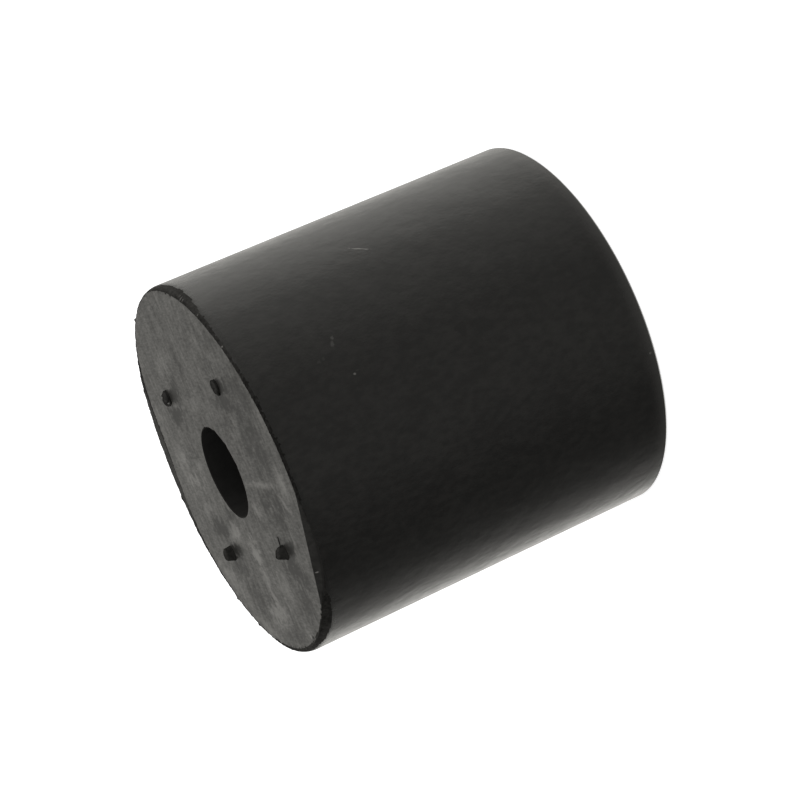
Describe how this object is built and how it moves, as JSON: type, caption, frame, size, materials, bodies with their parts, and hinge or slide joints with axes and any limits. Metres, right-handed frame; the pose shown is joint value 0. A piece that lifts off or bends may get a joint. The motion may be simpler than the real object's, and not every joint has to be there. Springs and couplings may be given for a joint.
{
  "type": "stabilizer bar bushing",
  "caption": "Solid rubber bushing, a straight cylinder about as long as it is wide, with a plain through bore and torn gate stubs on one end face.",
  "frame": {"origin": "centre of the plain end face, on the bore axis", "axes": "+Z along the bore axis towards the gate end; the gate stubs lie on the diagonals between X and Y"},
  "size_m": [0.065, 0.065, 0.067],
  "materials": {
    "rubber": "satin black as moulded, greyer and matt on the end faces"
  },
  "bodies": {
    "root": {"bushing": "rubber"}
  },
  "joints": []
}
